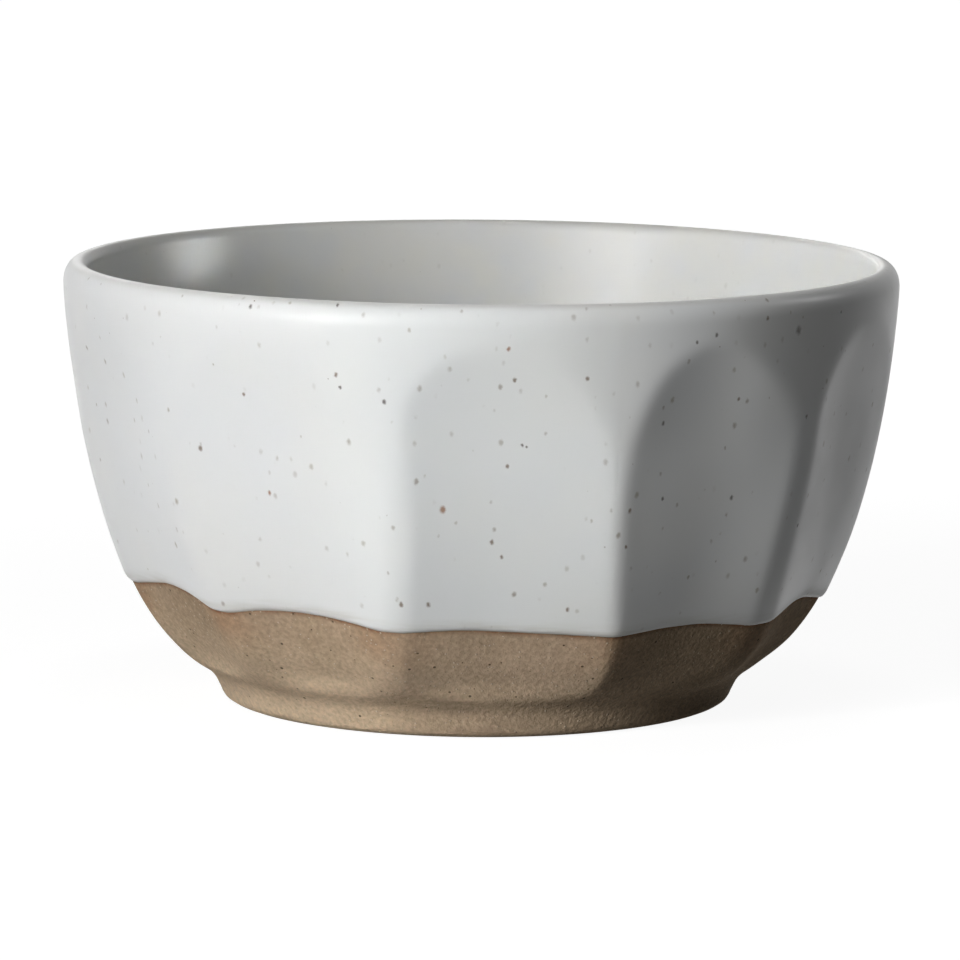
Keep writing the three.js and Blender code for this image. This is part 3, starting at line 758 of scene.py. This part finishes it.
camera_data = bpy.data.cameras.new("camera")
camera_data.sensor_width = 36.0
camera_data.lens = camera_data.sensor_width * CAMERA_FOCAL_PIXELS / IMAGE_PIXELS
camera_data.clip_end = 20.0
camera = bpy.data.objects.new("camera", camera_data)
scene.collection.objects.link(camera)
camera.location = (
    CAMERA_DISTANCE * math.sin(CAMERA_AZIMUTH), -CAMERA_DISTANCE * math.cos(CAMERA_AZIMUTH), CAMERA_HEIGHT)
facing = (CAMERA_AIM - camera.location).to_track_quat("-Z", "Y").to_matrix()
camera.rotation_euler = (facing @ Matrix.Rotation(CAMERA_ROLL, 3, "Z")).to_euler()
scene.camera = camera


# Floor: a wide sheet of white paper under the bowl. The eye and reflections see it white, with the bowl's
# shadow and a faint painted shade round the foot, where its white glow is dimmed near the bowl.
FLOOR_REACH = 6.0
PAPER = "#626262"
PAPER_SEEN = "#7F7F7F"  # what is left of the lit paper under its white, for the eye
PAINTED_SHADE_REACH = (0.1, 0.45)  # from the middle of the bowl, where the painted shade is full and where it ends
PAINTED_SHADE_WHITE = 0.93


def looked_at(tree):
    """1 for rays that the eye follows, straight, through glass or by reflection, and 0 for the rest."""
    light_path = add(tree, "ShaderNodeLightPath")
    direct = add(tree, MATH, {
        0: light_path["Is Camera Ray"], 1: light_path["Is Transmission Ray"]}, operation="MAXIMUM")[0]
    return add(tree, MATH, {0: direct, 1: light_path["Is Glossy Ray"]}, operation="MAXIMUM")[0]


floor_mesh = bpy.data.meshes.new("floor")
floor_corners = [(x * FLOOR_REACH, y * FLOOR_REACH, 0.0) for x, y in ((-1, -1), (1, -1), (1, 1), (-1, 1))]
floor_mesh.from_pydata(floor_corners, [], [(0, 1, 2, 3)])
floor = bpy.data.objects.new("floor", floor_mesh)
scene.collection.objects.link(floor)
paper = bpy.data.materials.new("white_paper")
paper.use_nodes = True
paper.cycles.emission_sampling = "NONE"
tree = paper.node_tree
tree.nodes.clear()
seen = looked_at(tree)
coords = add(tree, "ShaderNodeTexCoord")["Object"]
away = add(tree, "ShaderNodeVectorMath", {0: coords}, operation="LENGTH")["Value"]
# Painted shade: the paper's white glow is dimmed near the bowl, round its foot.
white_with_painted_shade = add(tree, RANGE, {
    "Value": away, "From Min": PAINTED_SHADE_REACH[0], "From Max": PAINTED_SHADE_REACH[1], "To Min": PAINTED_SHADE_WHITE,
}, interpolation_type="SMOOTHSTEP")[0]
painted_shade_glow = add(tree, MATH, {0: seen, 1: white_with_painted_shade}, operation="MULTIPLY")[0]
lit = add(tree, MIX, {0: seen, 6: linear(PAPER), 7: linear(PAPER_SEEN)}, data_type="RGBA")[2]
matt = add(tree, "ShaderNodeBsdfDiffuse", {"Color": lit})[0]
white = add(tree, "ShaderNodeEmission", {"Strength": painted_shade_glow})[0]
both = add(tree, "ShaderNodeAddShader", {0: matt, 1: white})[0]
add(tree, "ShaderNodeOutputMaterial", {"Surface": both})
floor_mesh.materials.append(paper)


# Light: two tall soft lamps to the left of the camera with a small gridded one beside them, a lamp overhead
# and a weak one behind, and two on the right that only shine: a window in the bowl and a gleam on the lip.
ROOM_LIGHT = 0.01
LAMP_DISTANCE = 1.3
BOWL_MIDDLE = (0.0, 0.0, 0.04)
world = bpy.data.worlds.new("studio")
scene.world = world
world.use_nodes = True
tree = world.node_tree
tree.nodes.clear()
strength = add(tree, RANGE, {"Value": looked_at(tree), "To Min": ROOM_LIGHT})[0]
sky = add(tree, "ShaderNodeBackground", {"Color": (1, 1, 1, 1), "Strength": strength})
add(tree, "ShaderNodeOutputWorld", {"Surface": sky[0]})


def softbox(name, azimuth, elevation, size, watts, aim=BOWL_MIDDLE, spread=180.0, only_shine=False):
    """An area lamp of some width and height that faces the bowl. Its angles are in degrees from the front."""
    lamp = bpy.data.lights.new(name, "AREA")
    lamp.energy = watts
    lamp.shape = "RECTANGLE"
    lamp.size = size[0]
    lamp.size_y = size[1]
    lamp.spread = math.radians(spread)
    made = bpy.data.objects.new(name, lamp)
    scene.collection.objects.link(made)
    made.visible_diffuse = not only_shine
    turn = math.radians(azimuth)
    rise = math.radians(elevation)
    way = Vector((math.sin(turn) * math.cos(rise), -math.cos(turn) * math.cos(rise), math.sin(rise)))
    made.location = Vector(BOWL_MIDDLE) + LAMP_DISTANCE * way
    made.rotation_euler = (Vector(aim) - made.location).to_track_quat("-Z", "Y").to_euler()


softbox("key", azimuth=-36.5, elevation=10.0, size=(0.4, 0.9), watts=10.0)
softbox("side", azimuth=-50.0, elevation=4.0, size=(0.4, 0.9), watts=3.8)
softbox(
    "gridded_side", azimuth=-50.0, elevation=12.0, size=(0.15, 0.15), watts=0.09,
    aim=(0.10, -0.05, 0.025), spread=16.0)
softbox("ceiling", azimuth=100.0, elevation=87.0, size=(0.3, 0.3), watts=1.7)
softbox(
    "window", azimuth=95.0, elevation=6.0, size=(0.08, 0.2), watts=0.021,
    aim=(-0.046, 0.055, 0.070), spread=6.0, only_shine=True)
softbox("lip_light", azimuth=106.0, elevation=28.0, size=(0.15, 0.3), watts=1.5, only_shine=True)
softbox("back", azimuth=185.0, elevation=20.0, size=(0.5, 0.5), watts=1.2)

scene.view_settings.view_transform = "Standard"
